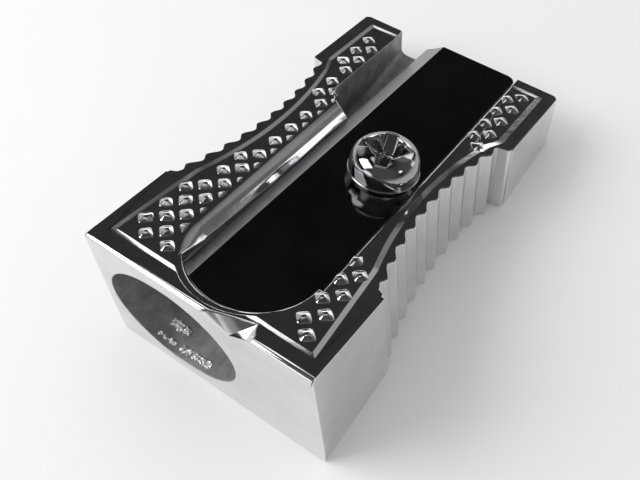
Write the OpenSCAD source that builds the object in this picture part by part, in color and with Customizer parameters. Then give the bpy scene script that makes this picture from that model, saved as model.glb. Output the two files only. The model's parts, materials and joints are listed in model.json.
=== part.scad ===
// Hand-held pencil sharpener: die-cast wedge body, flat blade and one fixing screw.
// Millimetres. +Z up, +Y from the pencil mouth to the thin end, +X to the blade side.
// Origin: centre of the bounding box, on the base plane.

/* [Body] */
// Length of the top, from mouth edge to thin end
body_l = 25; // [20:0.5:32]
// Width across the flat blocks at the base
body_w = 14; // [11:0.1:18]
// Height of the top edge at the mouth end
mouth_h = 9.95; // [9.5:0.05:14]
// Height of the top edge at the thin end
tail_h = 3.8; // [3.4:0.05:6]
// How far the base stands out past the top edge at the mouth face
mouth_lean = 0.33; // [0:0.01:0.8]
// Sideways slope of the block sides, millimetres per millimetre of height
side_draft = 0.04; // [0:0.005:0.1]
// How much shorter the left tail lobe is than the right one
lobe_step = 0.32; // [0:0.01:1]
// Radius of the upright corners
corner_r = 0.4; // [0.1:0.05:1]
// Radius rolled along the top edge of the mouth face
lip_r = 0.3; // [0.1:0.05:0.6]

/* [Grip waist] */
// Length of the waisted grip from the middle toward the mouth
waist_near = 6.85; // [5:0.05:9]
// Length of the waisted grip from the middle toward the thin end
waist_far = 6.3; // [5:0.05:9]
// Half width of the waist over its rib crests, at its narrowest, at the top edge
waist_x = 5.44; // [5.3:0.01:6.2]
// Growth of that half width with the square of the distance from the middle
waist_curve = 0.0235; // [0.01:0.0005:0.04]
// How far the waist's middle lies to the left of the body's
waist_shift = 0.05; // [0:0.01:0.2]
// Outward slope of the waist's sides toward the base
waist_draft = 0.05; // [0:0.005:0.1]
// Spacing of the grip ribs
rib_pitch = 1.219; // [0.9:0.001:2]
// Depth of the grooves between the ribs
rib_depth = 0.28; // [0.1:0.01:0.5]
// Shift of the rib pattern along the body
rib_shift = 0.29; // [-0.6:0.01:0.6]
// Share of the pitch from a rib's crest to the groove behind it
rib_skew = 0.6; // [0.4:0.01:0.8]

/* [Top pattern] */
// Width of the raised rim round the top
rim_w = 0.75; // [0.4:0.01:1.2]
// Width of the rim along the mouth edge
rim_front_w = 1.0; // [0.5:0.01:1.6]
// Depth of the patterned field below the rim
field_d = 0.1; // [0.04:0.01:0.3]
// Spacing of the studs across the body
stud_px = 1.357; // [1:0.001:2]
// Spacing of the studs along the body
stud_py = 1.459; // [1:0.001:2]
// Half diagonal of a stud at its foot
stud_r = 0.44; // [0.3:0.01:0.6]
// Half diagonal of a stud at its flat top
stud_top_r = 0.2; // [0.1:0.01:0.3]
// Height of a stud above the field
stud_h = 0.18; // [0.05:0.01:0.4]

/* [Pencil hole] */
// Radius of the pencil hole
bore_r = 4.0; // [3.9:0.05:4.3]
// Sideways place of the pencil hole
bore_x = -2.3; // [-2.6:0.05:-2]
// Height of the hole's centre at the mouth
bore_z = 4.87; // [4.8:0.01:5]
// Length of the plain round part of the hole
bore_l = 1.55; // [1.2:0.05:2]
// Half angle of the cone that the point is cut in
cone_deg = 11.9; // [10:0.1:14]
// Half width of the chip trough between the cone and the thin end
trough_r = 1.85; // [1.5:0.05:2.1]
// Sideways place of the chip trough
trough_x = -2.25; // [-2.4:0.05:-2.1]
// Distance from the middle to the centre of the trough's round end
trough_y = 5.15; // [4.8:0.05:6]
// Height of the trough's floor over the base
trough_z = 1.9; // [1.5:0.05:2.3]
// Radius in the trough's lower corners
trough_corner = 0.45; // [0.2:0.05:0.8]

/* [Blade seat] */
// Radius of the round end of the blade seat
seat_r = 3.6; // [3.2:0.05:4]
// Sideways centre of the round end
seat_x = 0.35; // [0:0.05:0.8]
// Distance along the top from the middle to the centre of the round end
seat_s = 8.45; // [7.5:0.05:9]
// Radius of the rolled edge round the near end of the seat
roll_r = 3.65; // [3.5:0.01:3.9]
// Sideways centre of that rolled edge
roll_x = 0.25; // [0:0.01:0.5]
// Distance along the top from the middle to its centre
roll_s = 8.8; // [8.4:0.05:9.2]
// Side clearance of the blade in its seat
seat_gap = 0.06; // [0.03:0.01:0.2]
// Foot of the chip slope, at the lip of the slot
slot_lip_x = -2.4; // [-2.6:0.01:-2.35]
// Steepest part of the rolled chip slope, in degrees round its roll
slope_deg = 74; // [50:1:85]

/* [Blade] */
// Thickness of the blade
blade_t = 0.5; // [0.4:0.01:0.7]
// Depth of the blade's top face below the rim
blade_sink = 0.28; // [0.1:0.01:0.6]
// Place of the cutting edge
edge_x = -2.3; // [-2.35:0.01:-2.1]
// Width of the ground bevel
bevel_w = 1.0; // [0.5:0.01:1.6]
// Length of the blade past the middle of the top, along the slope
blade_end = 13.25; // [12.5:0.01:13.6]
// Corner radius at the blade's far right corner
blade_corner = 0.65; // [0.2:0.05:1]

/* [Screw] */
// Sideways place of the screw
screw_x = 2.03; // [1.8:0.01:2.3]
// Place of the screw along the top
screw_s = 0.24; // [-1:0.01:1]
// Radius of the screw head
head_r = 1.97; // [1.6:0.01:2.2]
// Height of the head's upright side
head_side = 0.6; // [0.3:0.01:0.9]
// Full height of the domed head
head_h = 2.0; // [1.2:0.01:2.5]
// Fullness of the dome: 2 is a plain ellipse, more gives fuller shoulders
head_full = 2.8; // [2:0.1:4]
// Radius of the shank
shank_r = 1.25; // [1:0.05:1.4]
// Length of the shank under the head
shank_l = 4.4; // [3:0.1:5]
// Radial clearance of the shank in the body's hole
shank_gap = 0.04; // [0.02:0.01:0.1]
// Radial clearance of the shank in the blade's hole
blade_hole_gap = 0.15; // [0.05:0.01:0.4]
// Width of the arms of the cross recess
cross_w = 0.62; // [0.4:0.01:0.9]
// Span of the cross recess over two arms
cross_span = 2.5; // [1.8:0.05:3]
// Depth of the cross recess
cross_d = 0.95; // [0.5:0.05:1.3]
// Turn of the cross recess
cross_turn = 20; // [0:1:90]

/* [Hidden] */
$fn = 72;
half_l = body_l / 2;
fall = atan((mouth_h - tail_h) / body_l);
mid_h = (mouth_h + tail_h) / 2;
lean = atan(mouth_lean / mouth_h);
seat_d = blade_sink + blade_t;
bevel_drop = blade_t;
seat_right = seat_x + seat_r + 0.2;
tail_s = half_l / cos(fall);
mouth_s = -tail_s;
dome_h = head_h - head_side;
slope_x = roll_x - roll_r;

// Moves its children into the frame of the sloping top: X across, Y along, Z out.
module on_top() { translate([0, 0, mid_h]) rotate([-fall, 0, 0]) children(); }

// Half width of the waist at the top edge at y, and the depth of the ribs' grooves there.
function crest(y) = waist_x + waist_curve * y * y;
function phase(y) = let (p = (y - rib_shift) / rib_pitch) p - floor(p);
function rib(y) = let (p = phase(y))
    rib_depth * (1 - cos(180 * (p < rib_skew ? p / rib_skew : (1 - p) / (1 - rib_skew)))) / 2;
// Half width of the waist at the base; its last stretch rounds out into the flat block.
function base_x(y) = crest(y) + waist_draft * (mid_h - y * tan(fall));
function into_block(d) = d > 0.3 ? 0 : body_w / 2 - 0.42 + 0.42 * sqrt(1 - pow(d / 0.3, 2));
function side_x(y) = max(base_x(y) - rib(y), into_block(waist_far - y), into_block(y + waist_near));
ys = [for (i = [0:125]) -waist_near + i * (waist_near + waist_far) / 125];

module outline() {
    difference() {
        translate([-body_w / 2, -half_l - 1]) square([body_w, body_l + 1]);
        // Rounded upright corners of the two tail lobes.
        for (m = [0, 1]) mirror([m, 0]) translate([body_w / 2 - 0.17, half_l - m * lobe_step]) corner();
        translate([-body_w, half_l - lobe_step]) square([body_w - 2.3, 1]);
    }
}

// What the right side's ribbed waist takes away, leaning with the draft.
module waist_cut() {
    multmatrix([[1, 0, -waist_draft, 0], [0, 1, 0, 0], [0, 0, 1, -1], [0, 0, 0, 1]])
        translate([waist_draft, 0, 0]) linear_extrude(height = mouth_h + 3)
            polygon(concat([for (y = ys) [side_x(y), y]], [[body_w, waist_far], [body_w, -waist_near]]));
}

module corner() {
    translate([-corner_r, -corner_r]) difference() {
        square(corner_r + 1);
        circle(corner_r);
    }
}

// Everything in front of the leaning mouth face.
module mouth_cut() {
    translate([0, -half_l, mouth_h]) rotate([-lean, 0, 0]) translate([-20, -20, -20]) cube([40, 20, 40]);
}

// Everything outside one drafted side.
module side_cut() {
    translate([body_w / 2, 0, 0]) rotate([0, -atan(side_draft), 0.25])
        translate([0, -20, -5]) cube([10, 40, 30]);
}

module bore_frame() {
    translate([bore_x, -half_l - mouth_lean + bore_z * tan(lean), bore_z]) rotate([-90 - lean, 0, 0])
        children();
}

// Inner outline of the rim: the field that carries the studs.
function field_x(y) = min(crest(y) - rim_w, body_w / 2 - 1.1);
field_ys = [for (i = [-60:60]) i * 0.1 * waist_far / 6.6];
module field_outline() {
    polygon(concat([[-body_w / 2 + 1.1, mouth_s + rim_front_w + 0.15], [body_w / 2 - 1.1, mouth_s + rim_front_w + 0.15]],
        [for (y = field_ys) [field_x(y) - waist_shift, y / cos(fall)]],
        [[body_w / 2 - 1.1, waist_near], [body_w / 2 - 1.1, tail_s - 0.75], [-body_w / 2 + 1.1, tail_s - 0.75 - lobe_step],
         [-body_w / 2 + 1.1, waist_near]],
        [for (i = [len(field_ys) - 1:-1:0]) let (y = field_ys[i]) [-field_x(y) - waist_shift, y / cos(fall)]]));
}

module stud(x, s) {
    translate([x, s, -field_d - 0.05]) cylinder(h = stud_h + 0.05, r1 = stud_r + 0.05, r2 = stud_top_r, $fn = 4);
}

// Room for a stud inside the rim at x, s.
function clear_of_rim(x, s) = abs(s) > waist_near + 0.2
    ? abs(x) < body_w / 2 - 1.4 : abs(x) + 0.35 < crest(s * cos(fall)) - rim_w;

module studs() {
    // Left field.
    for (i = [0:3], j = [0:29]) let (x = -5.26 + i * stud_px / 2, s = -10.88 + j * stud_py / 2)
        if ((i + j) % 2 == 1 && clear_of_rim(x, s) && s < tail_s - 1.6 && !(i > 1 && s > 4.8)) stud(x, s);
    // Right field, mouth end and thin end.
    for (i = [0, 1], j = [0:7]) let (x = 5.03 - i * stud_px / 2, s = -11 + j * stud_py / 2)
        if ((i + j) % 2 == 0 && clear_of_rim(x, s)) stud(x, s);
    for (i = [0, 1], j = [0:8]) let (x = 5.03 - i * stud_px / 2, s = 11.45 - j * stud_py / 2)
        if ((i + j) % 2 == 0 && clear_of_rim(x, s)) stud(x, s);
}

// Plan of the blade seat in the top frame; grow widens it.
module seat_plan(grow = 0) {
    difference() {
        union() {
            translate([seat_x, -seat_s]) circle(seat_r + grow);
            polygon([[seat_x - seat_r - grow, -seat_s], [seat_right + grow, -seat_s],
                [seat_right - 0.1 + grow, 3], [seat_right - 0.2 + grow, 20], [seat_x - seat_r - grow, 20]]);
        }
        translate([-20 + slot_lip_x, -30]) square([20, 60]);
    }
}

// Profile of the rolled chip slope: distance in from its outer edge, and depth.
function roll(t) = [(slot_lip_x - slope_x) * sin(t) / sin(slope_deg),
    -field_d - (seat_d - field_d) * (1 - cos(t)) / (1 - cos(slope_deg))];
rolled = [for (i = [0:8]) roll(i * slope_deg / 8)];

// Sloping side of the chip slot, rolled from the field down to the slot's lip and round the seat's near end.
module chip_slope() {
    translate([0, 24 - roll_s, 0]) rotate([90, 0, 0]) linear_extrude(height = 24)
        polygon(concat([for (p = rolled) [slope_x + p[0], p[1]]], [[slot_lip_x + 0.3, -seat_d], [slot_lip_x + 0.3, 2], [slope_x, 2]]));
    intersection() {
        translate([roll_x, -roll_s, 0]) rotate_extrude($fn = 144)
            polygon(concat([[0, 2], [0, -seat_d]], [for (i = [8:-1:0]) [roll_r - rolled[i][0], rolled[i][1]]], [[roll_r, 2]]));
        translate([-6, -roll_s - 6, -3]) cube([12, 6, 6]);
    }
}

// Open trough between the cone and the thin end, where the point and the chips show.
module chip_trough() {
    inner = trough_r - trough_corner;
    translate([trough_x, trough_y, trough_z]) {
        translate([0, 0, trough_corner]) cylinder(r = trough_r, h = 10);
        cylinder(r = inner, h = 1);
        translate([0, 0, trough_corner]) rotate_extrude() translate([inner, 0]) circle(trough_corner, $fn = 32);
        translate([-trough_r, 0, trough_corner]) cube([2 * trough_r, 20, 10]);
        translate([-inner, 0, 0]) cube([2 * inner, 20, 1]);
        for (m = [-1, 1]) translate([m * inner, 0, trough_corner]) rotate([-90, 0, 0])
            cylinder(r = trough_corner, h = 20, $fn = 32);
    }
}

// Half space cut: everything on the side of p that n points to.
function unit(v) = v / norm(v);
module beyond(p, n) {
    w = unit(n);
    u = unit(cross([0, 0, 1], w));
    v = cross(w, u);
    multmatrix([[u[0], v[0], w[0], p[0]], [u[1], v[1], w[1], p[1]], [u[2], v[2], w[2], p[2]], [0, 0, 0, 1]])
        translate([-4, -4, 0]) cube([8, 8, 6]);
}

// Small broken-out notch in the top edge of the mouth face.
module lip_notch() {
    a = [0.1, -half_l - 0.05, mouth_h];
    b = [3.05, -half_l + 0.95, mouth_h - 0.95 * tan(fall)];
    c = [3.4, -half_l - 0.05, mouth_h];
    d = [1.85, -half_l - 0.08, mouth_h - 1.1];
    intersection() {
        beyond(a, cross(b - a, d - a) * (cross(b - a, d - a) * [0, -1, 0] > 0 ? 1 : -1));
        beyond(c, cross(b - c, d - c) * (cross(b - c, d - c) * [-1, 0, 0] > 0 ? 1 : -1));
    }
}

module body() {
    color([0.72, 0.73, 0.74]) difference() {
        union() {
            difference() {
                linear_extrude(height = mouth_h + 1) outline();
                on_top() translate([-20, -20, 0]) cube([40, 40, 10]);
                mouth_cut();
                side_cut();
                mirror([1, 0, 0]) side_cut();
                translate([-waist_shift, 0, 0]) {
                    waist_cut();
                    mirror([1, 0, 0]) waist_cut();
                }
                // Rolled lip along the mouth edge.
                on_top() translate([-20, mouth_s, 0]) difference() {
                    translate([0, -1, -lip_r]) cube([40, 1 + lip_r, 1 + lip_r]);
                    translate([-1, lip_r, -lip_r]) rotate([0, 90, 0]) cylinder(r = lip_r, h = 42, $fn = 32);
                }
                on_top() translate([0, 0, -field_d]) linear_extrude(height = 1) field_outline();
            }
            on_top() studs();
        }
        on_top() {
            translate([0, 0, -seat_d]) linear_extrude(height = 3) seat_plan();
            chip_slope();
            translate([screw_x, screw_s, -seat_d - shank_l - 0.3])
                cylinder(r = shank_r + shank_gap, h = shank_l + 1);
        }
        chip_trough();
        bore_frame() {
            translate([0, 0, -1]) cylinder(r = bore_r, h = bore_l + 1, $fn = 96);
            translate([0, 0, bore_l]) cylinder(r1 = bore_r, r2 = 0, h = bore_r / tan(cone_deg), $fn = 96);
        }
        lip_notch();
    }
}

module blade() {
    color([0.25, 0.25, 0.27]) on_top() difference() {
        translate([0, 0, -seat_d]) linear_extrude(height = blade_t) difference() {
            union() {
                translate([seat_x, -seat_s]) circle(seat_r - seat_gap);
                polygon([[seat_x - seat_r + 0.5, -seat_s], [seat_right - seat_gap, -seat_s],
                    [seat_right - 0.1 - seat_gap, 3], [seat_right - 0.2 - seat_gap, blade_end - blade_corner],
                    [seat_right - 0.2 - seat_gap - blade_corner, blade_end - blade_corner],
                    [seat_right - 0.2 - seat_gap - blade_corner, blade_end],
                    [edge_x + bevel_w, blade_end], [edge_x, blade_end - 0.45]]);
                translate([seat_right - 0.2 - seat_gap - blade_corner, blade_end - blade_corner]) circle(blade_corner);
            }
            translate([edge_x - 10, -30]) square([10, 60]);
            translate([screw_x, screw_s]) circle(shank_r + blade_hole_gap);
        }
        // Ground bevel down to the cutting edge.
        translate([edge_x, -30, -seat_d]) rotate([0, -atan(bevel_drop / bevel_w), 0])
            translate([-5, 0, 0.02]) cube([5 + norm([bevel_w, bevel_drop]), 60, 3]);
    }
}

// Half profile of the domed head, from its rim up to its middle.
function head(t) = [head_r * pow(cos(t), 2 / head_full), head_side + dome_h * pow(sin(t), 2 / head_full)];

module screw() {
    color([0.8, 0.8, 0.82]) on_top() translate([screw_x, screw_s, -blade_sink]) difference() {
        union() {
            translate([0, 0, -shank_l]) cylinder(r = shank_r, h = shank_l);
            rotate_extrude() polygon(concat([[0, 0], [head_r, 0]], [for (i = [0:14]) head(i * 90 / 14)]));
        }
        rotate([0, 0, cross_turn]) for (a = [0, 90]) rotate([0, 0, a]) translate([0, 0, head_h - cross_d])
            rotate([90, 0, 0]) translate([0, 0, -cross_w / 2]) linear_extrude(height = cross_w)
                polygon([[-0.35, 0], [0.35, 0], [cross_span / 2, cross_d + 0.2], [-cross_span / 2, cross_d + 0.2]]);
    }
}

body();
blade();
screw();
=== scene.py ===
"""Hand-held pencil sharpener: cast wedge body, steel blade and one fixing screw."""
import json
import math

import bmesh
import bpy
import numpy as np
from mathutils import Matrix, Vector

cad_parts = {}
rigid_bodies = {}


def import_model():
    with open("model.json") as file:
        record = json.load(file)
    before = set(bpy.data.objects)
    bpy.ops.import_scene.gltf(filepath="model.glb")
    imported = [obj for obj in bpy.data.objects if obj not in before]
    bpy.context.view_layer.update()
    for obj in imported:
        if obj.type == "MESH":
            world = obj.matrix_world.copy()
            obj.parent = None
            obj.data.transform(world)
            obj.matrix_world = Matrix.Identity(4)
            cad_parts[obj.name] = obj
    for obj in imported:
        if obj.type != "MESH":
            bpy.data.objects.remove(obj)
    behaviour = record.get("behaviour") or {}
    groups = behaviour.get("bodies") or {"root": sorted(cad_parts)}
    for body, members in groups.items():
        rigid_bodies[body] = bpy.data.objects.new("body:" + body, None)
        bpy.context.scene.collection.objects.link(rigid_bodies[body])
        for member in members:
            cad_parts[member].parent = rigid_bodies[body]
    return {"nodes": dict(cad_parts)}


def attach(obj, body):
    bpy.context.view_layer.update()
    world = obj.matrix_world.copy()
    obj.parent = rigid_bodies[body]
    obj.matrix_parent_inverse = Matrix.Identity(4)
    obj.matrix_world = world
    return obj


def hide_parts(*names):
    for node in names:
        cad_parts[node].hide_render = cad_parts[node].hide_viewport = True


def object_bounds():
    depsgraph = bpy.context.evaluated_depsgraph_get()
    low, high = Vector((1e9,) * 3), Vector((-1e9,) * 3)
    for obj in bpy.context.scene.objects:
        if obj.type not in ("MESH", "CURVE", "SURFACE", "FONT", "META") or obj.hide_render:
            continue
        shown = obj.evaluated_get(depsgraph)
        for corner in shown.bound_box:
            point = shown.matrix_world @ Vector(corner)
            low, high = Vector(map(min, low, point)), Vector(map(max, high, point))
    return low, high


for leftover in list(bpy.data.objects):
    bpy.data.objects.remove(leftover, do_unlink=True)

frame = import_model()
cad_low, cad_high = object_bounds()

MM = 0.001

# The sloping top: its height over the middle of the base, and its fall toward the thin end.
TOP_MIDDLE = 6.875 * MM
TOP_FALL = math.atan(6.15 / 25.0)
ACROSS = Vector((1, 0, 0))
ALONG = Vector((0, math.cos(TOP_FALL), -math.sin(TOP_FALL)))
OUT = Vector((0, math.sin(TOP_FALL), math.cos(TOP_FALL)))
TOP = Matrix.Translation((0, 0, TOP_MIDDLE)) @ Matrix((ACROSS, ALONG, OUT)).transposed().to_4x4()
FROM_TOP = TOP.inverted()

# Sizes that the pieces share with the solids, in millimetres, in the frame of the top:
# x across, s along it from its middle to the thin end, n out of it.
HALF_TOP, HALF_WIDTH = 12.873, 7
# The sunk field of studs and the rim round it.
FIELD_DEPTH, RIM_WIDTH = 0.1, 0.75
FIELD_SIDE, FIELD_NEAR, FIELD_FAR, LOBE_STEP = 5.9, -11.723, 12.123, 0.32
# The waist: half its least width, how fast it widens, its shift to the left, and its two ends.
WAIST_X, WAIST_CURVE, WAIST_SHIFT = 5.44, 0.0235, 0.05
WAIST_NEAR, WAIST_FAR = 6.85, 6.3
# The rolled chip slope and the blade's seat: middle and radius of their round ends.
ROLL_X, ROLL_S, ROLL_R = 0.25, -8.8, 3.65
SEAT_X, SEAT_S, SEAT_R = 0.35, -8.45, 3.6
SEAT_RIGHT, SEAT_TAPER, SEAT_TAPER_LENGTH, SEAT_DEPTH = 4.15, 0.1, 11.45, 0.78
# The chip trough: its sides, and where along the base its middle lies.
TROUGH_LEFT, TROUGH_RIGHT, TROUGH_Y = -4.1, -0.4, 5.15
# The pencil hole and the mouth face, in the axes of the base.
BORE_X, BORE_Z, BORE_R, BORE_LENGTH, CONE_HALF = -2.3, 4.87, 4.0, 1.55, math.radians(11.9)
MOUTH_Y, MOUTH_LEAN, MOUTH_HEIGHT = -12.5, 0.33, 9.95
# The blade and the screw.
BLADE_SINK, BLADE_EDGE_X, SLOT_LIP_X = 0.28, -2.3, -2.4
SCREW_X, SCREW_S, SHANK_R, SHANK_LENGTH = 2.03, 0.24, 1.25, 4.4
HEAD_R, HEAD_SIDE, DOME_R, DOME_TOP, DOME_FULL = 1.97, 0.6, 1.91, 2.12, 3.0


def on_top(x, s, n):
    """The place of a point that is given in the frame of the top, in millimetres."""
    return TOP @ (Vector((x, s, n)) * MM)


def in_top(point):
    """A point's x, s and n in the frame of the top, in millimetres."""
    x, s, n = FROM_TOP @ Vector(point)
    return x / MM, s / MM, n / MM


# ---------------------------------------------------------------- meshes

def merged_copy(node):
    """A bmesh of a node's solid, with its doubles merged."""
    shape = bmesh.new()
    shape.from_mesh(frame["nodes"][node].data)
    bmesh.ops.remove_doubles(shape, verts=shape.verts, dist=0.001 * MM)
    return shape


def join_flats(shape):
    """Joins neighbouring faces that lie in one plane."""
    bmesh.ops.dissolve_limit(shape, angle_limit=math.radians(0.6), verts=shape.verts,
                             edges=shape.edges, delimit={"MATERIAL"})


def new_piece(name, shape, materials):
    mesh = bpy.data.meshes.new(name)
    shape.to_mesh(mesh)
    shape.free()
    for material in materials:
        mesh.materials.append(material)
    piece = bpy.data.objects.new(name, mesh)
    bpy.context.collection.objects.link(piece)
    return piece


def settle(piece):
    """Applies a piece's modifiers to its mesh, so that none is left on it."""
    depsgraph = bpy.context.evaluated_depsgraph_get()
    mesh = bpy.data.meshes.new_from_object(piece.evaluated_get(depsgraph), preserve_all_data_layers=True,
                                           depsgraph=depsgraph)
    piece.modifiers.clear()
    old, piece.data = piece.data, mesh
    mesh.name = piece.name
    bpy.data.meshes.remove(old)


def round_edges(piece, width):
    """Rounds each edge by its own share of a width in millimetres."""
    bevel = piece.modifiers.new("round_edges", "BEVEL")
    bevel.width = width * MM
    bevel.segments = 3
    bevel.limit_method = "WEIGHT"
    bevel.use_clamp_overlap = False
    bevel.miter_outer = "MITER_ARC"
    bevel.face_strength_mode = "FSTR_ALL"
    settle(piece)


def smooth_shade(piece, crease_degrees=42):
    """Shades a piece smooth between its creases, with the large faces ruling over their rounded edges."""
    mesh = piece.data
    shape = bmesh.new()
    shape.from_mesh(mesh)
    for face in shape.faces:
        face.smooth = True
    crease = math.radians(crease_degrees)
    for edge in shape.edges:
        edge.smooth = not (len(edge.link_faces) == 2 and edge.calc_face_angle(0) > crease)
    shape.to_mesh(mesh)
    shape.free()
    weigh = piece.modifiers.new("flat_faces_first", "WEIGHTED_NORMAL")
    weigh.mode = "FACE_AREA"
    weigh.weight = 50
    weigh.keep_sharp = True
    weigh.use_face_influence = True
    settle(piece)


def is_creased(edge, degrees):
    """True where two faces meet in an outer edge that turns by at least an angle."""
    return len(edge.link_faces) == 2 and edge.is_convex and edge.calc_face_angle(0) >= math.radians(degrees)


# ---------------------------------------------------------------- node trees

class Wiring:
    """Short calls for making and joining the nodes of a tree."""

    def __init__(self, tree):
        self.tree = tree

    def node(self, kind, inputs=None, **settings):
        made = self.tree.nodes.new(kind)
        for name, value in settings.items():
            setattr(made, name, value)
        for name, value in (inputs or {}).items():
            self.feed(made.inputs[name], value)
        return made

    def feed(self, socket, value):
        if isinstance(value, bpy.types.NodeSocket):
            self.tree.links.new(value, socket)
        else:
            socket.default_value = value


def grown_by_nodes(name, points, build, sizes, faces=()):
    """A plain mesh grown from points by a node tree; sizes are the tree's named inputs."""
    mesh = bpy.data.meshes.new(name)
    mesh.from_pydata([tuple(p) for p in points], [], [tuple(f) for f in faces])
    piece = bpy.data.objects.new(name, mesh)
    bpy.context.collection.objects.link(piece)
    tree = bpy.data.node_groups.new(name, "GeometryNodeTree")
    tree.interface.new_socket("Geometry", in_out="INPUT", socket_type="NodeSocketGeometry")
    kinds = {float: "NodeSocketFloat", int: "NodeSocketInt", Vector: "NodeSocketVector"}
    keys = {}
    for label, value in sizes.items():
        socket = tree.interface.new_socket(label, in_out="INPUT", socket_type=kinds[type(value)])
        keys[label] = socket.identifier
    tree.interface.new_socket("Geometry", in_out="OUTPUT", socket_type="NodeSocketGeometry")
    wires = Wiring(tree)
    entry, leave = wires.node("NodeGroupInput"), wires.node("NodeGroupOutput")
    wires.feed(leave.inputs[0], build(wires, entry.outputs))
    modifier = piece.modifiers.new(name, "NODES")
    modifier.node_group = tree
    for label, value in sizes.items():
        modifier[keys[label]] = tuple(value) if isinstance(value, Vector) else value
    settle(piece)
    return piece


def random_vector(wires, low, high, seed):
    """A vector for each instance, drawn between two limits."""
    draw = wires.node("FunctionNodeRandomValue", {"Seed": seed}, data_type="FLOAT_VECTOR")
    wires.feed(draw.inputs[0], low)
    wires.feed(draw.inputs[1], high)
    return draw.outputs[0]


def random_number(wires, low, high, seed):
    """A number for each instance, drawn between two limits."""
    draw = wires.node("FunctionNodeRandomValue", {"Seed": seed}, data_type="FLOAT")
    wires.feed(draw.inputs[2], low)
    wires.feed(draw.inputs[3], high)
    return draw.outputs[1]


def laid_out(wires, points, shape, turn, size, material):
    """Copies of a shape on points, each with its own turn and size, made real and given their finish."""
    laid = wires.node("GeometryNodeInstanceOnPoints", {"Points": points, "Instance": shape, "Rotation": turn,
                                                       "Scale": size})
    real = wires.node("GeometryNodeRealizeInstances", {"Geometry": laid.outputs[0]})
    finished = wires.node("GeometryNodeSetMaterial", {"Geometry": real.outputs[0], "Material": material})
    return finished.outputs[0]


# ---------------------------------------------------------------- camera, floor and light

def place_camera():
    """Looks down on the object from the front right, a little rolled."""
    azimuth, elevation, roll = math.radians(39.718), math.radians(58.445), math.radians(-5.499)
    distance, focal_length = 49.234, 46.508
    target = Vector((-0.7253, -2.2267, 0.7087)) * MM
    back = Vector((math.sin(azimuth) * math.cos(elevation), -math.cos(azimuth) * math.cos(elevation),
                   math.sin(elevation)))
    level = Vector((0, 0, 1)).cross(back).normalized()
    upright = back.cross(level)
    right = math.cos(roll) * level + math.sin(roll) * upright
    up = -math.sin(roll) * level + math.cos(roll) * upright
    lens = bpy.data.cameras.new("camera")
    lens.sensor_width = 36.0
    lens.lens = focal_length
    lens.clip_start, lens.clip_end = 0.001, 5.0
    camera = bpy.data.objects.new("camera", lens)
    turn = Matrix((right, up, back)).transposed().to_4x4()
    camera.matrix_world = Matrix.Translation(target + back * distance * MM) @ turn
    bpy.context.collection.objects.link(camera)
    bpy.context.scene.camera = camera


def soft_lamp(name, place, size, power):
    """A square area lamp that faces the object."""
    light = bpy.data.lights.new(name, "AREA")
    light.shape = "RECTANGLE"
    light.size = light.size_y = size
    light.energy = power
    lamp = bpy.data.objects.new(name, light)
    facing = (-Vector(place)).to_track_quat("-Z", "Y").to_matrix().to_4x4()
    lamp.matrix_world = Matrix.Translation(Vector(place)) @ facing
    bpy.context.collection.objects.link(lamp)


# Grey level of the mirrored sky at each height: pale at the horizon, dark from a little above it.
SKY_STOPS = [(0.0, 0.95), (0.10, 0.9), (0.15, 0.3), (0.20, 0.07), (0.30, 0.03), (1.0, 0.03)]
# That sky keeps its full level behind the object and on its left, and only a share of it elsewhere:
# direction, the angles in degrees where it is full and where the share alone is left, and the share.
SKY_WAY, SKY_INNER, SKY_OUTER, SKY_REST = (-0.64, 0.77, 0.0), 44, 60, 0.3
# Pale glows in the mirrored room: direction, the angles in degrees where each is full and where it ends,
# and strength.
GLOWS = [
    ((0.60, 0.70, 0.35), 12, 50, 0.13),    # wide and faint, behind on the right
    ((0.62, 0.78, 0.13), 7, 12, 1.1),      # low, behind on the right
    ((-0.33, -0.90, 0.16), 6, 20, 1.8),    # low, in front
    ((-0.80, 0.58, 0.20), 10, 24, 0.4),    # low, on the left and a little behind
    ((-0.29, 0.24, 0.92), 8, 12, 1.3),     # high, a little to the left
    ((-0.86, 0.28, 0.42), 8, 20, 0.45),    # on the left, above the horizon
    ((0.02, 0.30, 0.95), 5, 13, 0.6),      # overhead
    ((-0.66, 0.73, 0.17), 5, 10, 0.9),     # low, behind on the left
    ((0.45, -0.60, 0.65), 20, 60, 0.12),   # wide and faint, high in front on the right
    ((0.12, 0.82, 0.55), 8, 20, 0.17),     # behind, well above the horizon
]
# A row of small glows just over the horizon, behind and to the left, which edges and studs catch.
ROW_X, ROW_Y, ROW_Z = (-0.80, -0.62, -0.50, -0.38, -0.26, -0.14, -0.03), 0.9, 0.09
ROW_INNER, ROW_OUTER, ROW_STRENGTH = 4, 8, 0.9


def patch_of_sky(wires, sky, direction, inner, outer, rest=0.0):
    """1 inside the inner angle round a direction of the sky, the rest value outside the outer angle."""
    near = wires.node("ShaderNodeVectorMath", {0: sky, 1: Vector(direction).normalized()},
                      operation="DOT_PRODUCT")
    return wires.node("ShaderNodeMapRange", {
        "Value": near.outputs["Value"], "From Min": math.cos(math.radians(outer)),
        "From Max": math.cos(math.radians(inner)), "To Min": rest},
        interpolation_type="SMOOTHSTEP").outputs["Result"]


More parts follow.
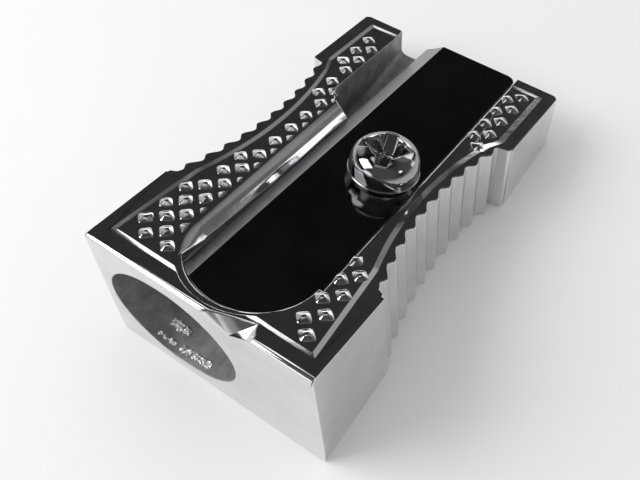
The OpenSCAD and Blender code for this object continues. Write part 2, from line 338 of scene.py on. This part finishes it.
def mirrored_room(wires):
    """What polished metal reflects: a pale low horizon behind, a dark sky and a few glows."""
    sky = wires.node("ShaderNodeTexCoord").outputs["Generated"]
    height = wires.node("ShaderNodeSeparateXYZ", {0: sky}).outputs["Z"]
    levels = wires.node("ShaderNodeValToRGB", {"Fac": height})
    ramp = levels.color_ramp
    while len(ramp.elements) < len(SKY_STOPS):
        ramp.elements.new(0.5)
    for element, (at, level) in zip(ramp.elements, SKY_STOPS):
        element.position = at
        element.color = (level, level, level, 1)
    behind = patch_of_sky(wires, sky, SKY_WAY, SKY_INNER, SKY_OUTER, SKY_REST)
    total = wires.node("ShaderNodeVectorMath", {0: levels.outputs["Color"], "Scale": behind},
                       operation="SCALE").outputs[0]
    row = [((x, ROW_Y, ROW_Z), ROW_INNER, ROW_OUTER, ROW_STRENGTH) for x in ROW_X]
    for direction, inner, outer, strength in GLOWS + row:
        share = patch_of_sky(wires, sky, direction, inner, outer)
        glow = wires.node("ShaderNodeVectorMath", {0: (strength, strength, strength), "Scale": share},
                          operation="SCALE").outputs[0]
        total = wires.node("ShaderNodeVectorMath", {0: total, 1: glow}, operation="ADD").outputs[0]
    return wires.node("ShaderNodeBackground", {"Color": total}).outputs[0]


def light_room():
    """A plain white room that lights the object, with the mirrored room for its reflections alone."""
    world = bpy.data.worlds.new("room")
    bpy.context.scene.world = world
    world.use_nodes = True
    world.node_tree.nodes.clear()
    wires = Wiring(world.node_tree)
    white = (1, 1, 1, 1)
    plain = wires.node("ShaderNodeBackground", {"Color": white, "Strength": 0.72}).outputs[0]
    backdrop = wires.node("ShaderNodeBackground", {"Color": white, "Strength": 1.0}).outputs[0]
    path = wires.node("ShaderNodeLightPath").outputs
    lit = wires.node("ShaderNodeMixShader", {0: path["Is Glossy Ray"], 1: plain, 2: mirrored_room(wires)})
    seen = wires.node("ShaderNodeMixShader", {0: path["Is Camera Ray"], 1: lit.outputs[0], 2: backdrop})
    wires.node("ShaderNodeOutputWorld", {"Surface": seen.outputs[0]})
    soft_lamp("key_softbox", (-0.11, -0.075, 0.13), 0.12, 0.222)
    soft_lamp("right_glint", (0.204, 0.025, 0.144), 0.04, 0.016)


def lay_floor():
    """A matt white card, just under the base so that the two never share a plane."""
    half, gap = 1.2, 0.00002
    mesh = bpy.data.meshes.new("floor")
    corners = [(-half, -half, 0), (half, -half, 0), (half, half, 0), (-half, half, 0)]
    mesh.from_pydata(corners, [], [(0, 1, 2, 3)])
    floor = bpy.data.objects.new("floor", mesh)
    bpy.context.collection.objects.link(floor)
    material = bpy.data.materials.new("white_card")
    material.use_nodes = True
    card = material.node_tree.nodes["Principled BSDF"]
    card.inputs["Base Color"].default_value = (0.8, 0.8, 0.8, 1)
    card.inputs["Roughness"].default_value = 0.9
    card.inputs["Specular IOR Level"].default_value = 0.1
    mesh.materials.append(material)
    floor.location.z = -gap


# ---------------------------------------------------------------- finishes

def new_finish(name, metallic):
    """A material, its wiring, its shader's sockets and the place on the piece that its patterns read."""
    material = bpy.data.materials.new(name)
    material.use_nodes = True
    wires = Wiring(material.node_tree)
    shader = material.node_tree.nodes["Principled BSDF"]
    shader.inputs["Metallic"].default_value = metallic
    place = wires.node("ShaderNodeTexCoord").outputs["Object"]
    return material, wires, shader.inputs, place


def drawn_out(wires, place, across, along):
    """The place on a piece, turned with the top and scaled across it and along it."""
    return wires.node("ShaderNodeMapping", {"Vector": place, "Rotation": (-TOP_FALL, 0, 0),
                                            "Scale": (across, along, 1.0)}).outputs[0]


def noise(wires, place, per_mm, detail, rough=0.55):
    return wires.node("ShaderNodeTexNoise", {"Vector": place, "Scale": per_mm * 1000.0, "Detail": detail,
                                             "Roughness": rough}).outputs["Fac"]


def spread(wires, value, low, high):
    """The middle of a noise's range, stretched between two values."""
    return wires.node("ShaderNodeMapRange", {"Value": value, "From Min": 0.3, "From Max": 0.7,
                                             "To Min": low, "To Max": high}).outputs[0]


def tint(wires, value, dark, light):
    """A colour between a dark and a light one, by a noise."""
    mix = wires.node("ShaderNodeMix", data_type="RGBA")
    wires.feed(mix.inputs[0], spread(wires, value, 0.0, 1.0))
    wires.feed(mix.inputs[6], (*dark, 1))
    wires.feed(mix.inputs[7], (*light, 1))
    return mix.outputs[2]


def bumps(wires, height, strength, distance, under=None):
    """A bumped normal, over another one where given; the distance is in millimetres."""
    inputs = {"Height": height, "Strength": strength, "Distance": distance * MM}
    if under is not None:
        inputs["Normal"] = under
    return wires.node("ShaderNodeBump", inputs).outputs[0]


def polished_cast():
    """Tumbled and plated casting: bright, with soft ripples and a few fine pits."""
    material, wires, shader, place = new_finish("polished_cast", 1.0)
    clouds = noise(wires, place, 0.5, 4.0)
    wires.feed(shader["Base Color"], tint(wires, clouds, (0.67, 0.675, 0.685), (0.76, 0.765, 0.775)))
    wires.feed(shader["Roughness"], spread(wires, noise(wires, place, 1.3, 5.0), 0.07, 0.13))
    ripples = bumps(wires, noise(wires, place, 0.9, 3.0), 0.35, 0.02)
    wires.feed(shader["Normal"], bumps(wires, noise(wires, place, 7.0, 2.0), 0.25, 0.004, ripples))
    return material


def raw_cast_with_painted_shade():
    """Dull grey inside of the casting, as it left the mould and the cutter, and darkened as painted shade
    for the hollows it lines.
    """
    material, wires, shader, place = new_finish("raw_cast_with_painted_shade", 0.6)
    clouds = noise(wires, place, 1.2, 5.0)
    # Dark grey colour: the raw casting's own tone, darkened further as painted shade for the pencil hole and
    # the chip trough.
    wires.feed(shader["Base Color"], tint(wires, clouds, (0.2, 0.2, 0.205), (0.38, 0.38, 0.385)))
    wires.feed(shader["Roughness"], spread(wires, noise(wires, place, 3.0, 4.0), 0.38, 0.58))
    grains = bumps(wires, noise(wires, place, 5.0, 4.0), 0.5, 0.02)
    wires.feed(shader["Normal"], bumps(wires, noise(wires, place, 1.0, 2.0), 0.4, 0.05, grains))
    return material


def blade_steel_painted_dark():
    """Polished strip steel with faint scuffs along it, its colour darkened to near black as a painted dark
    reflection.
    """
    material, wires, shader, place = new_finish("blade_steel_painted_dark", 1.0)
    scuffs = noise(wires, drawn_out(wires, place, 6.0, 0.35), 1.2, 4.0, 0.6)
    clouds = noise(wires, place, 0.35, 3.0)
    # Near-black colour: a painted dark reflection, in place of the steel's own bright tone.
    wires.feed(shader["Base Color"], tint(wires, clouds, (0.09, 0.09, 0.095), (0.16, 0.16, 0.165)))
    wires.feed(shader["Roughness"], spread(wires, scuffs, 0.05, 0.12))
    wires.feed(shader["Normal"], bumps(wires, noise(wires, place, 1.2, 3.0), 0.12, 0.006))
    return material


def ground_steel():
    """The ground bevel: brighter steel with close grinding marks along the edge."""
    material, wires, shader, place = new_finish("ground_steel", 1.0)
    marks = noise(wires, drawn_out(wires, place, 5.0, 0.12), 4.0, 3.0, 0.6)
    wires.feed(shader["Base Color"], tint(wires, marks, (0.2, 0.2, 0.205), (0.25, 0.25, 0.255)))
    wires.feed(shader["Roughness"], spread(wires, marks, 0.30, 0.36))
    wires.feed(shader["Normal"], bumps(wires, marks, 0.08, 0.001))
    return material


def screw_nickel_painted_dark():
    """Bright nickel over a cold-formed head: smooth, with slight waviness, but with its colour darkened as
    painted shade, so that what it mirrors comes out dim.
    """
    material, wires, shader, place = new_finish("screw_nickel_painted_dark", 1.0)
    clouds = noise(wires, place, 0.8, 3.0)
    # Dark grey colour: painted shade that dims the floor and horizon mirrored in the head, in place of the
    # nickel's own bright tone.
    wires.feed(shader["Base Color"], tint(wires, clouds, (0.33, 0.33, 0.34), (0.41, 0.41, 0.42)))
    wires.feed(shader["Roughness"], spread(wires, noise(wires, place, 2.5, 4.0), 0.06, 0.13))
    wires.feed(shader["Normal"], bumps(wires, noise(wires, place, 1.1, 2.0), 0.3, 0.02))
    return material


def swarf_bright():
    """Bright flecks of cut metal and graphite left in the hole."""
    material, wires, shader, place = new_finish("swarf_bright", 0.3)
    specks = noise(wires, place, 6.0, 2.0)
    wires.feed(shader["Base Color"], tint(wires, specks, (0.85, 0.85, 0.85), (0.98, 0.98, 0.98)))
    wires.feed(shader["Roughness"], spread(wires, noise(wires, place, 9.0, 2.0), 0.12, 0.3))
    return material


# ---------------------------------------------------------------- cast body

def field_outline():
    """Inner outline of the rim round the sunk field, anticlockwise seen from outside."""
    # The curved stretch of each side runs this far both ways from the narrowest point.
    steps, reach = 60, WAIST_FAR * 6 / 6.6
    ys = [reach * i / steps for i in range(-steps, steps + 1)]
    half = [min(WAIST_X + WAIST_CURVE * y * y - RIM_WIDTH, FIELD_SIDE) for y in ys]
    cosine = math.cos(TOP_FALL)
    right = [(h - WAIST_SHIFT, y / cosine) for h, y in zip(half, ys)]
    left = [(-h - WAIST_SHIFT, y / cosine) for h, y in zip(half, ys)]
    near_end = [(-FIELD_SIDE, FIELD_NEAR), (FIELD_SIDE, FIELD_NEAR)]
    far_end = [(FIELD_SIDE, WAIST_NEAR), (FIELD_SIDE, FIELD_FAR), (-FIELD_SIDE, FIELD_FAR - LOBE_STEP),
               (-FIELD_SIDE, WAIST_NEAR)]
    return np.array(near_end + right + far_end + left[::-1])


OUTLINE = field_outline()


def nearest_on_outline(x, s):
    """Distance to the outline, signed positive inside, and the way in from it (mitred at a corner)."""
    point = np.array((x, s))
    start, end = OUTLINE, np.roll(OUTLINE, -1, 0)
    way = end - start
    length = np.linalg.norm(way, axis=1)
    inward = np.stack([-way[:, 1], way[:, 0]], 1) / length[:, None]
    t = np.clip(((point - start) * way).sum(1) / length ** 2, 0, 1)
    gap = np.linalg.norm(start + t[:, None] * way - point, axis=1)
    i = int(gap.argmin())
    side = float((point - start[i]) @ inward[i])
    to_corner = np.linalg.norm(OUTLINE - point, axis=1)
    j = int(to_corner.argmin())
    if to_corner[j] < 0.01:
        both = inward[j] + inward[j - 1]
        return math.copysign(gap[i], side), both / (1 + float(inward[j] @ inward[j - 1]))
    return math.copysign(gap[i], side), inward[i]


def from_roll(x, s):
    """Distance from the middle of the chip slope's round end."""
    return math.hypot(x - ROLL_X, s - ROLL_S)


def flatten_studs(shape):
    """Takes the plain studs down to the field; rounded ones stand in their places."""
    hair, stud_top, clear_of_rim = 0.0005, 0.12, 0.02
    for vert in shape.verts:
        x, s, n = in_top(vert.co)
        if -FIELD_DEPTH + hair < n < stud_top and nearest_on_outline(x, s)[0] > clear_of_rim:
            vert.co = on_top(x, s, -FIELD_DEPTH)
    bmesh.ops.remove_doubles(shape, verts=shape.verts, dist=hair * MM)
    bmesh.ops.dissolve_degenerate(shape, edges=shape.edges, dist=hair * MM)


def slope_rim(shape):
    """Leans the rim's inner wall: its foot goes in, its top edge goes out, by its own steps on each side."""
    foot_on_left, foot_on_right, foot_gain_on_right, foot_near, foot_far = 0.1, 0.15, 0.12, 0.15, 0.12
    edge_on_left, edge_on_right, edge_near, edge_far = -0.1, -0.16, -0.16, -0.08
    for vert in shape.verts:
        x, s, n = in_top(vert.co)
        gap, inward = nearest_on_outline(x, s)
        if abs(gap) > 0.012 or n < -FIELD_DEPTH - 0.003 or n > 0.003:
            continue
        if n < -FIELD_DEPTH / 2:
            on_right = foot_on_right + foot_gain_on_right * (s - FIELD_NEAR) / (FIELD_FAR - FIELD_NEAR)
            step_x = foot_on_left if inward[0] > 0 else on_right
            step_s = foot_near if inward[1] > 0 else foot_far
        else:
            step_x = edge_on_left if inward[0] > 0 else edge_on_right
            step_s = edge_near if inward[1] > 0 else edge_far
        new_x, new_s = x + inward[0] * step_x, s + inward[1] * step_s
        # Where the rim is cut by the chip slope's round end, it stays on that circle.
        if abs(from_roll(x, s) - ROLL_R) < 0.03 and s < ROLL_S:
            across = math.sqrt(ROLL_R ** 2 - (new_s - ROLL_S) ** 2)
            new_x = ROLL_X + math.copysign(across, x - ROLL_X)
        vert.co = on_top(new_x, new_s, n)


def ease_lip(shape):
    """Keeps the lower part of the rolled chip slope from growing too steep, and moves its foot inward."""
    eased_from, fall_there, steepness, steepness_round_end = 0.751, 0.29, 1.15, 0.8
    lower_part, foot_line, past_foot, foot_step = 0.8, 0.98, 1.02, 0.07
    fade_from, fade_length, ends_at = -11.0, 2.2, 11.0
    for vert in shape.verts:
        x, s, n = in_top(vert.co)
        if x >= SLOT_LIP_X + 0.01 or s >= ends_at or n <= -SEAT_DEPTH - 0.005:
            continue
        across = x - (ROLL_X - ROLL_R) if s > ROLL_S else ROLL_R - from_roll(x, s)
        if not lower_part < across < past_foot:
            continue
        share = min(1.0, max(0.0, (s - fade_from) / fade_length))
        step = foot_step if across > foot_line and s > ROLL_S + 0.01 else 0.0
        steep = steepness if s > ROLL_S - 0.01 else steepness_round_end
        eased = -FIELD_DEPTH - fall_there - steep * (across + step - eased_from)
        if n < eased:
            vert.co = on_top(x + step, s, n + share * (eased - n))


def chamfer_mouth(shape):
    """Breaks the top edge of the mouth with a narrow, slightly wavy strip."""
    width, drop, cut_every, in_plane = 0.25, 0.07, 0.3, 0.004
    strip_s = -HALF_TOP + width
    tops = [f for f in shape.faces
            if f.normal.dot(OUT) > 0.999 and all(abs(in_top(v.co)[2]) < in_plane for v in f.verts)
            and min(in_top(v.co)[1] for v in f.verts) < -HALF_TOP + 0.1]
    parts = set(tops) | {e for f in tops for e in f.edges} | {v for f in tops for v in f.verts}
    bmesh.ops.bisect_plane(shape, geom=list(parts), dist=1e-7, plane_co=on_top(0, strip_s, 0),
                           plane_no=ALONG)
    inner = [e for e in shape.edges if all(abs(in_top(v.co)[1] - strip_s) < 0.002
                                           and abs(in_top(v.co)[2]) < in_plane for v in e.verts)]
    for edge in inner:
        cuts = int(edge.calc_length() / (cut_every * MM))
        if cuts:
            bmesh.ops.subdivide_edges(shape, edges=[edge], cuts=cuts)
    for vert in shape.verts:
        x, s, n = in_top(vert.co)
        if abs(n) > in_plane or s > strip_s + 0.002:
            continue
        if s < -HALF_TOP + 0.06:
            front = next((f.normal.copy() for f in vert.link_faces if f.normal.y < -0.99), None)
            move = -OUT * drop * MM
            if front is not None:
                move -= front * move.dot(front)
            vert.co += move
        elif abs(s - strip_s) < 0.003:
            wander = 0.035 * math.sin(5.1 * x) * math.sin(13.7 * x + 1)
            dip = 0.012 * (1 + math.sin(17 * x)) + 0.008 * (1 + math.sin(7.3 * x + 2))
            vert.co = on_top(x, s + wander, -dip)


def bore_radius(depth):
    """Radius of the pencil hole, or of its cone, at a depth behind the mouth."""
    return BORE_R - max(0.0, depth - BORE_LENGTH) * math.tan(CONE_HALF)


def in_bore(point, normal):
    """True on the wall of the pencil hole or its cone."""
    x, y, z = (c / MM for c in point)
    depth = y - MOUTH_Y + MOUTH_LEAN * (1 - z / MOUTH_HEIGHT)
    away = math.hypot(x - BORE_X, z - BORE_Z)
    toward_middle = -((x - BORE_X) * normal.x + (z - BORE_Z) * normal.z) / max(away, 0.01)
    return depth > -0.02 and away < bore_radius(depth) + 0.12 and toward_middle > 0.8


def in_trough(point, normal):
    """True on the walls and the floor of the chip trough."""
    x, y, z = (c / MM for c in point)
    if not (TROUGH_LEFT - 0.03 < x < TROUGH_RIGHT + 0.03 and y > 3.0 and z > 1.8):
        return False
    return abs(normal.dot(OUT)) < 0.9 or z < 3.2


def on_rim_wall(face):
    """True on the leaning inner wall of the rim."""
    return 0.86 < face.normal.dot(OUT) < 0.985 and -0.1 < in_top(face.calc_center_median())[2] < -0.003


def edge_share(edge):
    """Share of the full rounding that an edge of the casting gets."""
    if not is_creased(edge, 28):
        soft = len(edge.link_faces) == 2 and 8 < math.degrees(edge.calc_face_angle(0)) < 45
        return 0.35 if soft and any(on_rim_wall(face) for face in edge.link_faces) else 0.0
    ends = [in_top(v.co) for v in edge.verts]
    # The round end of the chip slope.
    if all(abs(from_roll(x, s) - ROLL_R) < 0.1 for x, s, _ in ends):
        return 0.4
    # The notch in the mouth's top edge.
    if any(s < -11.3 and 0.0 < x < 3.3 for x, s, _ in ends):
        return 0.7
    # The foot of the mouth's chamfer.
    if all(abs(n) < 0.08 and s < -HALF_TOP + 0.06 for _, s, n in ends):
        return 0.5
    # The edges of the flat top: finer at the thin end and on the left.
    if all(abs(n) < 0.005 for _, _, n in ends):
        return 0.25 if all(s > HALF_TOP - 0.1 or x < -4.5 for x, s, _ in ends) else 0.6
    # The base.
    if all(v.co.z < 0.01 * MM for v in edge.verts):
        return 0.7
    # Upright corners and ribs.
    if abs((edge.verts[1].co - edge.verts[0].co).normalized().z) > 0.97:
        return 0.4
    # Edges deep inside, behind the mouth.
    if all(n < -0.6 for _, _, n in ends) and not any(v.co.y < -12.0 * MM for v in edge.verts):
        return 0.35
    return 0.7


def level_tops(piece):
    """Keeps the flats of the top and the field free of the lean that their rounded edges would give them."""
    mesh = piece.data
    normals = [corner.vector.copy() for corner in mesh.corner_normals]
    for polygon in mesh.polygons:
        if polygon.normal.dot(OUT) > 0.9998:
            for i in polygon.loop_indices:
                normals[i] = OUT
    mesh.normals_split_custom_set(normals)


def keep_in_box(piece):
    """Holds every point within the box of the solids."""
    for vert in piece.data.vertices:
        vert.co = [min(max(c, low), high) for c, low, high in zip(vert.co, cad_low, cad_high)]


def make_body(cast, raw_with_painted_shade):
    shape = merged_copy("body")
    flatten_studs(shape)
    join_flats(shape)
    slope_rim(shape)
    ease_lip(shape)
    chamfer_mouth(shape)
    bmesh.ops.triangulate(shape, faces=[f for f in shape.faces if len(f.verts) > 4])
    # The pencil hole and the chip trough take the raw finish, whose dark colour is partly painted shade.
    for face in shape.faces:
        middle = face.calc_center_median()
        if in_bore(middle, face.normal) or in_trough(middle, face.normal):
            face.material_index = 1
    shares = shape.edges.layers.float.new("bevel_weight_edge")
    for edge in shape.edges:
        edge[shares] = edge_share(edge)
    piece = new_piece("cast_body", shape, [cast, raw_with_painted_shade])
    round_edges(piece, 0.1)
    smooth_shade(piece)
    keep_in_box(piece)
    level_tops(piece)
    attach(piece, "body")
    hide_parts("body")


# ---------------------------------------------------------------- studs

PITCH_X, PITCH_S = 1.357, 1.459
HALF_STUD = 0.35


def has_room(x, s):
    """True where a stud would stand clear of the rim."""
    side_room = 1.4
    if abs(s) > WAIST_NEAR + 0.2:
        return abs(x) < HALF_WIDTH - side_room
    y = s * math.cos(TOP_FALL)
    return abs(x) + HALF_STUD < WAIST_X + WAIST_CURVE * y * y - RIM_WIDTH


def stud_places():
    """Where the studs stand, in the top's frame, in the same rows as the solids'."""
    first_x, first_s, columns, rows = -5.26, -10.88, 4, 30
    narrow_from, last_s = 4.8, HALF_TOP - 1.6
    places = []
    for i in range(columns):
        for j in range(rows):
            x, s = first_x + i * PITCH_X / 2, first_s + j * PITCH_S / 2
            if (i + j) % 2 and has_room(x, s) and s < last_s and not (i > 1 and s > narrow_from):
                places.append((x, s))
    # On the right, two columns that start at each end of the field and run toward the waist.
    right_x = 5.03
    for end_s, step, rows in ((-11.0, 1, 8), (11.45, -1, 9)):
        for i in range(2):
            for j in range(rows):
                x, s = right_x - i * PITCH_X / 2, end_s + step * j * PITCH_S / 2
                if (i + j) % 2 == 0 and has_room(x, s):
                    places.append((x, s))
    return places


def out_of_circle(x, s, middle_x, middle_s, radius):
    """The point itself, or where it lies inside a circle, the nearest point on that circle."""
    away = math.hypot(x - middle_x, s - middle_s)
    if away < radius:
        return middle_x + (x - middle_x) * radius / away, middle_s + (s - middle_s) * radius / away
    return x, s


def cut_back(x, s):
    """Keeps a point of a stud out of the chip slope, the seat and the trough."""
    if s < ROLL_S:
        x, s = out_of_circle(x, s, ROLL_X, ROLL_S, ROLL_R)
    elif x < 0:
        before_trough = s * math.cos(TOP_FALL) < TROUGH_Y - 1.0
        x = min(x, ROLL_X - ROLL_R if before_trough else TROUGH_LEFT)
    if x > 0:
        if s < SEAT_S:
            x, s = out_of_circle(x, s, SEAT_X, SEAT_S, SEAT_R)
        if s > SEAT_S:
            x = max(x, SEAT_RIGHT - SEAT_TAPER * min(1.0, (s - SEAT_S) / SEAT_TAPER_LENGTH))
    return x, s


def make_studs(cast):
    smallest, largest, most_lean, most_turn = (0.92, 0.92, 0.85), (1.06, 1.06, 1.1), 0.05, 0.08
    most_cut = 0.3

    def build(wires, given):
        block = wires.node("GeometryNodeMeshCone", {
            "Vertices": 4, "Radius Top": given["Half diagonal at the top"],
            "Radius Bottom": given["Half diagonal at the foot"], "Depth": given["Depth"]}).outputs["Mesh"]
        soft = wires.node("GeometryNodeSubdivisionSurface", {
            "Mesh": block, "Level": given["Roundness steps"],
            "Edge Crease": given["Edge crease"]}).outputs[0]
        stud = wires.node("GeometryNodeTransform", {"Geometry": soft,
                                                    "Translation": given["Set"]}).outputs[0]
        size = random_vector(wires, smallest, largest, given["Seed"])
        lean = random_vector(wires, (-most_lean - TOP_FALL, -most_lean, -most_turn),
                             (most_lean - TOP_FALL, most_lean, most_turn), given["Seed"])
        return laid_out(wires, given["Geometry"], stud, lean, size, cast)

    # A stud that the chip slope, the seat or the trough would take much from is left out.
    points = []
    for x, s in stud_places():
        kept_x, kept_s = cut_back(x, s)
        if math.hypot(kept_x - x, kept_s - s) < most_cut:
            points.append(on_top(x, s, -FIELD_DEPTH))
    piece = grown_by_nodes("studs", points, build, {
        "Half diagonal at the top": 0.13 * MM, "Half diagonal at the foot": 0.64 * MM, "Depth": 0.19 * MM,
        "Set": Vector((0, 0, -0.045)) * MM, "Roundness steps": 3, "Edge crease": 0.36, "Seed": 4})
    for vert in piece.data.vertices:
        x, s, n = in_top(vert.co)
        vert.co = on_top(*cut_back(x, s), n)
    for polygon in piece.data.polygons:
        polygon.use_smooth = True
    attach(piece, "body")


# ---------------------------------------------------------------- swarf in the hole

# Heaps of flecks on the lower wall of the pencil hole: angle of the middle from straight down,
# its depth behind the mouth, the angle that the heap spans, and half its length.
HEAPS = [(-0.37, 1.12, 0.30, 0.22), (-0.42, 0.16, 0.30, 0.10), (0.10, 0.24, 0.55, 0.18)]


def heap_patches():
    """Points and faces of a patch of the hole's wall under each heap."""
    columns, rows, lift = 9, 7, 0.01
    points, faces = [], []
    for middle, depth, wide, half_long in HEAPS:
        first = len(points)
        for i in range(columns):
            for j in range(rows):
                angle = middle + wide * (i / (columns - 1) - 0.5)
                at = depth + half_long * 2 * (j / (rows - 1) - 0.5)
                radius = bore_radius(at) - lift
                z = BORE_Z - radius * math.cos(angle)
                points.append(Vector((BORE_X + radius * math.sin(angle), MOUTH_Y + at, z)) * MM)
        for i in range(columns - 1):
            for j in range(rows - 1):
                a = first + i * rows + j
                faces.append((a, a + 1, a + rows + 1, a + rows))
    return points, faces


def make_swarf(bright):
    flattened, full_turn = (1.0, 0.7, 0.5), 6.28

    def build(wires, given):
        spots = wires.node("GeometryNodeDistributePointsOnFaces", {
            "Mesh": given["Geometry"], "Density": given["Flecks per area"], "Seed": given["Seed"]})
        ball = wires.node("GeometryNodeMeshIcoSphere", {"Radius": given["Fleck radius"], "Subdivisions": 1})
        fleck = wires.node("GeometryNodeTransform", {"Geometry": ball.outputs[0],
                                                     "Scale": flattened}).outputs[0]
        turn = random_vector(wires, (0, 0, 0), (full_turn, full_turn, full_turn), given["Seed"])
        size = random_number(wires, 0.25, 1.0, given["Seed"])
        return laid_out(wires, spots.outputs["Points"], fleck, turn, size, bright)

    points, faces = heap_patches()
    piece = grown_by_nodes("swarf", points, build, {
        "Flecks per area": 100.0 / MM ** 2, "Fleck radius": 0.16 * MM, "Seed": 7}, faces)
    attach(piece, "body")


# ---------------------------------------------------------------- blade

def make_blade(steel, ground):
    shape = merged_copy("blade")
    join_flats(shape)
    for face in shape.faces:
        if 0.3 < face.normal.dot(OUT) < 0.95:
            face.material_index = 1
    shares = shape.edges.layers.float.new("bevel_weight_edge")
    for edge in shape.edges:
        if is_creased(edge, 24):
            cutting = all(abs(in_top(v.co)[0] - BLADE_EDGE_X) < 0.05 for v in edge.verts)
            edge[shares] = 0.15 if cutting else 1.0
    # The blade's top takes the darkened steel, a painted dark reflection; the ground bevel takes its own
    # finish.
    piece = new_piece("sharpening_blade", shape, [steel, ground])
    round_edges(piece, 0.045)
    smooth_shade(piece)
    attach(piece, "blade")
    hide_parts("blade")


# ---------------------------------------------------------------- screw

AROUND = 240
SHANK_SIDES, SHANK_LEVELS = 48, 88


def soft_least(a, b, blend):
    """The smaller of two heights, with a rounded change from one to the other."""
    h = max(blend - abs(a - b), 0.0) / blend
    return min(a, b) - h * h * blend / 4


def dome_height(radius):
    """Height of the dome over the head's underside at a radius from its middle."""
    share = min(radius / DOME_R, 1.0)
    return HEAD_SIDE + (DOME_TOP - HEAD_SIDE) * (1 - share ** DOME_FULL) ** (1 / DOME_FULL)


def recess_height(u, v):
    """Floor and walls of the cross recess at u, v: four arms that shoal outward, round a wide core."""
    turn, arm_width, arm_depth, arm_reach, wall_slope = math.radians(17), 0.6, 1.3, 1.78, 6.0
    core_depth, core_radius, core_slope, most_depth = 1.1, 0.48, 2.2, 1.12
    arms = []
    for angle in (turn, turn + math.pi / 2):
        along = abs(u * math.cos(angle) + v * math.sin(angle))
        aside = abs(-u * math.sin(angle) + v * math.cos(angle))
        wall = wall_slope * max(0.0, aside - arm_width / 2)
        arms.append(DOME_TOP - arm_depth * (1 - along / arm_reach) + wall)
    core = DOME_TOP - core_depth + core_slope * max(0.0, math.hypot(u, v) - core_radius)
    return max(min(*arms, core), DOME_TOP - most_depth)


def head_height(radius, angle):
    """Height of the dome with the cross recess sunk in it."""
    recess = recess_height(radius * math.cos(angle), radius * math.sin(angle))
    return soft_least(dome_height(radius), recess, 0.16)


def round_point(radius, k, count, height):
    """Point k of a count of them, evenly spaced round the screw's axis."""
    angle = 2 * math.pi * k / count
    return Vector((radius * math.cos(angle), radius * math.sin(angle), height))


def band(lower, upper, count):
    """Faces between two rings of points, each given by the number of its first point."""
    return [(lower + k, upper + k, upper + (k + 1) % count, lower + (k + 1) % count) for k in range(count)]


def head_rings():
    """Radius and heights of each ring of the head, from the middle of the dome out and down to the shank."""
    rings = []
    # The last steps down the dome are set by angle, since its side turns steep there.
    dome_steps, recess_reach = 102, 1.75
    for i in range(1, dome_steps - 2):
        radius = DOME_R * math.sin(math.pi / 2 * i / dome_steps)
        heights = [dome_height(radius)] * AROUND
        if radius < recess_reach:
            heights = [head_height(radius, 2 * math.pi * k / AROUND) for k in range(AROUND)]
        rings.append((radius, heights))
    for degrees in (8, 6.5, 5, 3.8, 2.7, 1.7, 0.9, 0.3):
        angle = math.radians(degrees)
        height = HEAD_SIDE + (DOME_TOP - HEAD_SIDE) * math.sin(angle) ** (2 / DOME_FULL)
        rings.append((DOME_R * math.cos(angle) ** (2 / DOME_FULL), [height] * AROUND))
    # A narrow rounded rim round the foot of the dome, then the side drawn in to a rounded lower edge.
    edge, foot, foot_r = 0.1, 0.1, HEAD_R - 0.32
    quarter = [math.radians(15 * i) for i in range(7)]
    rings.append((DOME_R + 0.003, [HEAD_SIDE] * AROUND))
    for angle in quarter:
        height = HEAD_SIDE - edge + edge * math.cos(angle)
        rings.append((HEAD_R - edge + edge * math.sin(angle), [height] * AROUND))
    for angle in quarter:
        rings.append((foot_r - foot + foot * math.cos(angle), [foot - foot * math.sin(angle)] * AROUND))
    rings.append((SHANK_R + 0.02, [0.0] * AROUND))
    return rings


def shank_points():
    """Rings of the threaded shank: a plain neck, a thread that runs in and a tapered tip."""
    pitch, thread_depth, crest_width, clearance = 0.45, 0.2, 1.25, 0.01
    neck, run_in, tip_length, tip_taper = 0.5, 0.4, 0.35, 0.25
    points = []
    for i in range(SHANK_LEVELS + 1):
        height = -SHANK_LENGTH * i / SHANK_LEVELS
        cut = 0.0 if height > -neck else thread_depth * min(1.0, (-neck - height) / run_in)
        tip = tip_taper * max(0.0, (-height - SHANK_LENGTH + tip_length) / tip_length)
        for k in range(SHANK_SIDES):
            crest = abs(2 * ((height / pitch + k / SHANK_SIDES) % 1.0) - 1)
            radius = SHANK_R - clearance - cut * (1 - min(1.0, crest * crest_width)) - tip
            points.append(round_point(radius, k, SHANK_SIDES, height))
    return points


def make_screw(nickel):
    points = [Vector((0, 0, head_height(0, 0)))]
    rings = head_rings()
    for radius, heights in rings:
        points += [round_point(radius, k, AROUND, height) for k, height in enumerate(heights)]
    faces = [(0, 1 + k, 1 + (k + 1) % AROUND) for k in range(AROUND)]
    for i in range(len(rings) - 1):
        faces += band(1 + i * AROUND, 1 + (i + 1) * AROUND, AROUND)
    # The shank is a closed form of its own under the head.
    first = len(points)
    points += shank_points()
    for i in range(SHANK_LEVELS):
        faces += band(first + i * SHANK_SIDES, first + (i + 1) * SHANK_SIDES, SHANK_SIDES)
    faces.append(tuple(first + SHANK_LEVELS * SHANK_SIDES + k for k in range(SHANK_SIDES)))
    shape = bmesh.new()
    made = [shape.verts.new(on_top(SCREW_X + p.x, SCREW_S + p.y, p.z - BLADE_SINK)) for p in points]
    for face in faces:
        shape.faces.new([made[i] for i in face])
    bmesh.ops.recalc_face_normals(shape, faces=shape.faces)
    piece = new_piece("fixing_screw", shape, [nickel])
    smooth_shade(piece, 50)
    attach(piece, "screw")
    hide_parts("screw")


place_camera()
light_room()
lay_floor()

cast = polished_cast()
make_body(cast, raw_cast_with_painted_shade())
make_studs(cast)
make_swarf(swarf_bright())
make_blade(blade_steel_painted_dark(), ground_steel())
make_screw(screw_nickel_painted_dark())

bpy.context.scene.view_settings.view_transform = "Standard"
